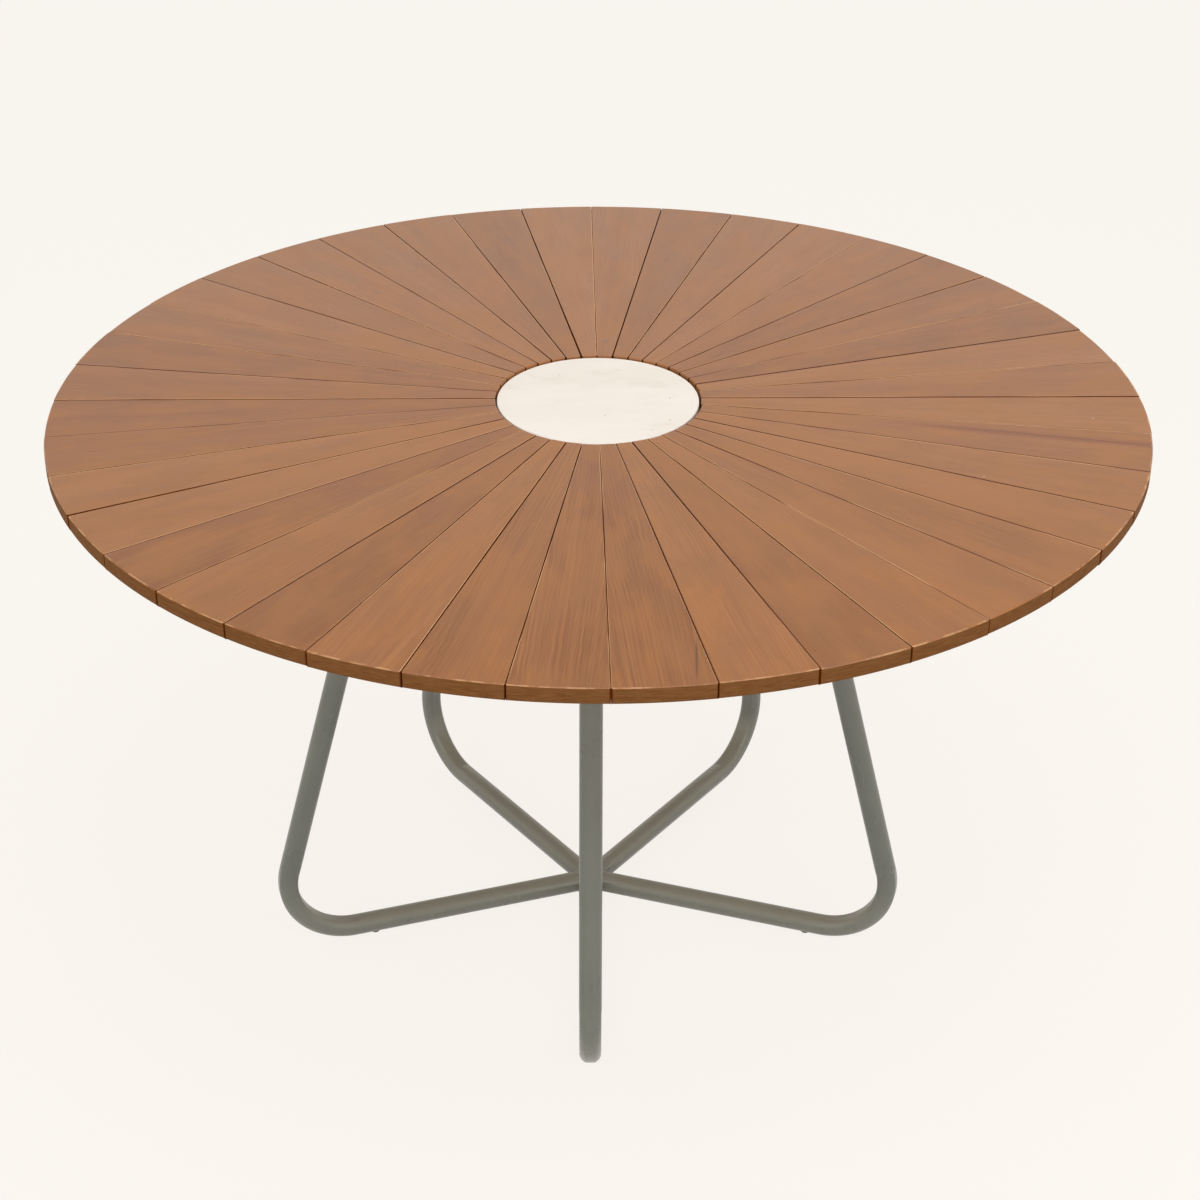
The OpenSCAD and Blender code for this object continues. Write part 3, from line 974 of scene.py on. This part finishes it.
def leg_path(run):
    """Stations of the leg in its own plane: (point, direction, how hard it is pressed, 0 to 1)."""
    lean = lean_to_plate(run)
    bend_turn = math.pi / 2 + lean
    centre = Vector((run, 0, TUBE_HEIGHT + BEND_RADIUS))
    stations = []
    for i in range(STRAIGHT_STEPS):
        x = (run - KINK_RUN) * i / (STRAIGHT_STEPS - 1)
        stations.append((Vector((x, 0, TUBE_HEIGHT)), Vector((1, 0, 0)), 0.0))
    for i in range(BEND_STEPS + 1):
        t = i / BEND_STEPS
        a = bend_turn * t
        point = centre + BEND_RADIUS * Vector((math.sin(a), 0, -math.cos(a)))
        pressed = min(1.0, PRESS_START + PRESS_GROWTH * min(t, 1 - t))
        stations.append((point, Vector((math.cos(a), 0, math.sin(a))), pressed))
    up = Vector((-math.sin(lean), 0, math.cos(lean)))
    foot = stations[-1][0]
    length = (PLATE_FOOT - foot.z) / up.z
    for i in range(STRAIGHT_STEPS):
        climbed = KINK_RUN + (length - KINK_RUN) * i / (STRAIGHT_STEPS - 1)
        stations.append((foot + up * climbed, up, 0.0))
    return stations


def tube_section(pressed):
    """The ring of a tube as (outward, sideways) pairs; pressed is 0 on a round stretch."""
    ring = []
    r = TUBE / 2
    for i in range(ROUND_STEPS):
        a = math.tau * i / ROUND_STEPS
        out = max(FLAT_IN * pressed - r, min(r * math.cos(a), r - FLAT_OUT * pressed))
        side = max(FLAT_SIDE * pressed - r, min(r * math.sin(a), r - FLAT_SIDE * pressed))
        ring.append((out, side))
    return ring


print("stations of a leg:", len(leg_path(FOOT_RUN)))

# %% [markdown]
# The rings are joined into a skin. At the hub the tube ends in a mitre: each point of its first ring
# is pushed out until it lies on the plane between two tubes. The riser's last ring is cut level
# under its plate, so its points slide along the tube until they reach the plate's height.

# %% Build the legs
LEG_SHARP_ANGLE = 40


def turned_to(piece, side):
    """Turns a piece made along +X to its side of the steel frame."""
    turn = about_z(-math.pi / 2 + FRAME_TURN + side * LEG_STEP)
    turn.translation = (FRAME_SHIFT, 0, 0)
    piece.data.transform(turn)


def leg_skin(name, run):
    """The outside of one leg along +X, from the hub to its plate."""
    bm = bmesh.new()
    rings = []
    stations = leg_path(run)
    for index, (point, ahead, pressed) in enumerate(stations):
        outward = Vector((ahead.z, 0, -ahead.x))
        ring = []
        for out, side in tube_section(pressed):
            corner = point + outward * out + Vector((0, side, 0))
            if index == 0:
                corner.x = abs(side) / math.tan(LEG_STEP / 2)
            if index == len(stations) - 1:
                corner += ahead * ((PLATE_FOOT - corner.z) / ahead.z)
            ring.append(bm.verts.new(corner))
        rings.append(ring)
    for low, high in zip(rings, rings[1:]):
        faces_between(bm, low, high)
    # the mitred end isn't flat, so Blender chooses the faces that close it
    bmesh.ops.contextual_create(bm, geom=rings[0])
    bm.faces.new(rings[-1])
    bmesh.ops.recalc_face_normals(bm, faces=bm.faces)
    return new_object(name, mesh_from(bm, name), powder_coat)


for side, leg_name in enumerate(LEG_SIDES):
    leg = leg_skin("bent_tube_" + leg_name, FOOT_RUN + RUN_ERRORS[leg_name])
    turned_to(leg, side)
    shade_by_angle(leg, LEG_SHARP_ANGLE)
    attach(leg, "table")
    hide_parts("leg_" + leg_name)
print("made", len(LEG_SIDES), "legs")

# %% [markdown]
# Weld beads close the seams. A bead is a thin rope of metal with small scales, laid along the line
# where two pieces meet. Both kinds of seam lie in a plane, so the plane's normal and the line's own
# direction give every ring of the rope, and it never twists. At the hub the seam between two tubes
# lies in the upright plane halfway between them and runs from the top of the tubes down their side.

# %% Weld beads
BEAD = 0.0019
BEAD_SCALE = 0.0035
BEAD_SWELL = 0.16
BEAD_STEPS = 8
HUB_SEAM_STEPS = 40
HUB_SEAM_START = 4
HUB_SEAM_SWEEP = 128
PLATE_SEAM_STEPS = 96


def bead(name, points, closed, normal):
    """A rope of weld metal, with its scales, along a line in the plane with this normal."""
    bm = bmesh.new()
    rings = []
    travelled = 0.0
    count = len(points)
    turns = [math.tau * k / BEAD_STEPS for k in range(BEAD_STEPS)]
    for i, point in enumerate(points):
        before = points[(i - 1) % count] if closed or i else point
        after = points[(i + 1) % count] if closed or i < count - 1 else point
        aside = normal.cross((after - before).normalized())
        if i:
            travelled += (point - points[i - 1]).length
        swell = BEAD * (1 + BEAD_SWELL * math.sin(math.tau * travelled / BEAD_SCALE))
        spokes = [normal * math.cos(a) + aside * math.sin(a) for a in turns]
        rings.append([bm.verts.new(point + spoke * swell) for spoke in spokes])
    for low, high in zip(rings, rings[1:]):
        faces_between(bm, low, high)
    if closed:
        faces_between(bm, rings[-1], rings[0])
    else:
        bm.faces.new(rings[0])
        bm.faces.new(rings[-1])
    bmesh.ops.recalc_face_normals(bm, faces=bm.faces)
    piece = new_object(name, mesh_from(bm, name), powder_coat)
    piece.data.shade_smooth()
    return piece


def lay_bead(name, points, closed, normal, side):
    """Lays a bead on its side of the frame. It rides on the table."""
    seam = bead(name, points, closed, normal)
    turned_to(seam, side)
    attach(seam, "table")


hub_line = []
for i in range(HUB_SEAM_STEPS):
    a = math.radians(HUB_SEAM_START + HUB_SEAM_SWEEP * i / (HUB_SEAM_STEPS - 1))
    out = TUBE / 2 * math.sin(a) / math.sin(LEG_STEP / 2)
    hub_line.append(Vector((out, 0, TUBE_HEIGHT + TUBE / 2 * math.cos(a))))

leg_top = leg_path(FOOT_RUN)[-1][0]
reach = TUBE / 2 + BEAD * 0.4
plate_line = []
for i in range(PLATE_SEAM_STEPS):
    a = math.tau * i / PLATE_SEAM_STEPS
    out = leg_top.x + reach / math.cos(RISER_LEAN) * math.cos(a)
    plate_line.append(Vector((out, reach * math.sin(a), PLATE_FOOT - BEAD * 0.6)))

for side, leg_name in enumerate(LEG_SIDES):
    lay_bead("hub_weld_" + leg_name, hub_line, False, Vector((0, 1, 0)), side + 0.5)
for side, leg_name in enumerate(LEG_SIDES):
    lay_bead("plate_weld_" + leg_name, plate_line, True, Vector((0, 0, 1)), side)
print("laid", 2 * len(LEG_SIDES), "weld beads")

# %% [markdown]
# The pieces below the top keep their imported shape, because it is right as it is. They only need
# their finish, so we put the material in the node's own slot.

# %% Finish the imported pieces
COATED = ["inner_ring", "outer_ring", "leg_plates", "hub_disc"]
FINISHES = {
    powder_coat: COATED + ["arm_" + side for side in LEG_SIDES],
    zinc: ["slat_screws", "leg_fasteners"],
    rubber: ["stone_pads", "hub_pad"],
    nylon: ["floor_glides"],
}
for finish, nodes in FINISHES.items():
    for node in nodes:
        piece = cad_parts[node]
        piece.data.materials.clear()
        piece.data.materials.append(finish)
print("finished", sum(len(nodes) for nodes in FINISHES.values()), "packed nodes")

# %% [markdown]
# The photograph was taken in a white studio: light comes from everywhere, most of it from above,
# and hardly any shadow is left. The floor takes part of its colour as its own light for the camera
# and for reflections, so it reads as the pale backdrop and still keeps a faint shadow. Seen from
# below it lets the view through. Far from the table it is all backdrop, so no horizon shows.

# %% Floor and backdrop
BACKDROP = colour(0.985, 0.948, 0.896)
FLOOR_RADIUS = 14
FLOOR_STEPS = 96
FLOOR_OWN_LIGHT = 0.89
FLOOR_FADE = (3.0, 9.0)


def ray_kinds(start):
    """Wires that are 1 for a ray from the camera, from a mirror and through glass."""
    rays = start.node("LightPath").socket.node.outputs
    return [Wire(start.tree, rays[f"Is {kind} Ray"]) for kind in ("Camera", "Glossy", "Transmission")]


def floor_material():
    material = bpy.data.materials.new("pale_studio_floor")
    material.use_nodes = True
    material.node_tree.nodes.clear()
    start = Wire(material.node_tree)
    matt = start.node("BsdfDiffuse", {}, {"Color": colour(0.95, 0.93, 0.905)})
    glow = start.node("Emission", {}, {"Color": BACKDROP, "Strength": 1.0})
    clear = start.node("BsdfTransparent")
    far_out = start.node("TexCoord", out="Object").length()
    share = far_out.ramp(*FLOOR_FADE) * (1 - FLOOR_OWN_LIGHT) + FLOOR_OWN_LIGHT
    seen, mirrored, through = ray_kinds(start)
    looked_at = seen + mirrored + through
    lit = start.node("MixShader", {}, {0: looked_at * share, 1: matt, 2: glow})
    below = start.node("NewGeometry", out="Backfacing")
    both = start.node("MixShader", {}, {0: below, 1: lit, 2: clear})
    start.node("OutputMaterial", {}, {"Surface": both})
    return material


bm = bmesh.new()
bmesh.ops.create_circle(bm, cap_ends=True, radius=FLOOR_RADIUS, segments=FLOOR_STEPS)
floor = new_object("studio_floor", mesh_from(bm, "studio_floor"), floor_material())
print("floor", 2 * FLOOR_RADIUS, "m across")

# %% [markdown]
# White walls stand all round the studio and the ceiling is dimmer, so the fill is brighter near the
# horizon than overhead. The oiled top mirrors a dimmer ceiling at its front and the white wall at its
# back, as in the photograph. One very large soft panel hangs above the table. A smaller one stands on
# either side of the camera: they reach the rim and the legs, which the top keeps in its shade.

# %% Light
WALLS = 0.68
CEILING = 0.42
MIRRORED_CEILING = 0.18
WALL_TO_CEILING = (0.46, 0.535)
FILL_TONE = colour(1.0, 0.985, 0.965)
PANEL_AIM = Vector((0, 0, 0.4))
# name, diameter, place and power of each panel
PANELS = [
    ("overhead_panel", 4.0, Vector((0.4, -0.8, 3.4)), 59),
    ("left_panel", 1.6, Vector((-2.8, -3.0, 2.4)), 21),
    ("right_panel", 1.6, Vector((2.8, -3.0, 2.4)), 21),
]


def sky_between(sky, low, high, tone):
    """A background that goes from the walls' strength near the horizon to the ceiling's."""
    walls = sky.node("Background", {}, {"Color": tone, "Strength": low})
    ceiling = sky.node("Background", {}, {"Color": tone, "Strength": high})
    up = sky.node("TexCoord", out="Generated").split()[2]
    return sky.node("MixShader", {}, {0: up.ramp(*WALL_TO_CEILING), 1: walls, 2: ceiling})


def soft_panel(name, size, place, power):
    """A round soft light that looks at the table and doesn't show in the picture itself."""
    data = bpy.data.lights.new(name, "AREA")
    data.shape = "DISK"
    data.size = size
    data.energy = power
    panel = bpy.data.objects.new(name, data)
    bpy.context.scene.collection.objects.link(panel)
    panel.location = place
    panel.rotation_euler = (PANEL_AIM - place).to_track_quat("-Z", "Y").to_euler()
    panel.visible_camera = False


world = bpy.data.worlds.new("white_studio")
bpy.context.scene.world = world
world.use_nodes = True
world.node_tree.nodes.clear()
sky = Wire(world.node_tree)
fill = sky_between(sky, WALLS, CEILING, FILL_TONE)
mirror_image = sky_between(sky, 1.0, MIRRORED_CEILING, BACKDROP)
backdrop = sky.node("Background", {}, {"Color": BACKDROP, "Strength": 1.0})
seen, mirrored, through = ray_kinds(sky)
mixed = sky.node("MixShader", {}, {0: mirrored, 1: fill, 2: mirror_image})
mixed = sky.node("MixShader", {}, {0: seen + through, 1: mixed, 2: backdrop})
sky.node("OutputWorld", {}, {"Surface": mixed})
for panel in PANELS:
    soft_panel(*panel)
bpy.context.scene.view_settings.view_transform = "Standard"
print("lit by a fill of", CEILING, "to", WALLS, "and", len(PANELS), "panels")
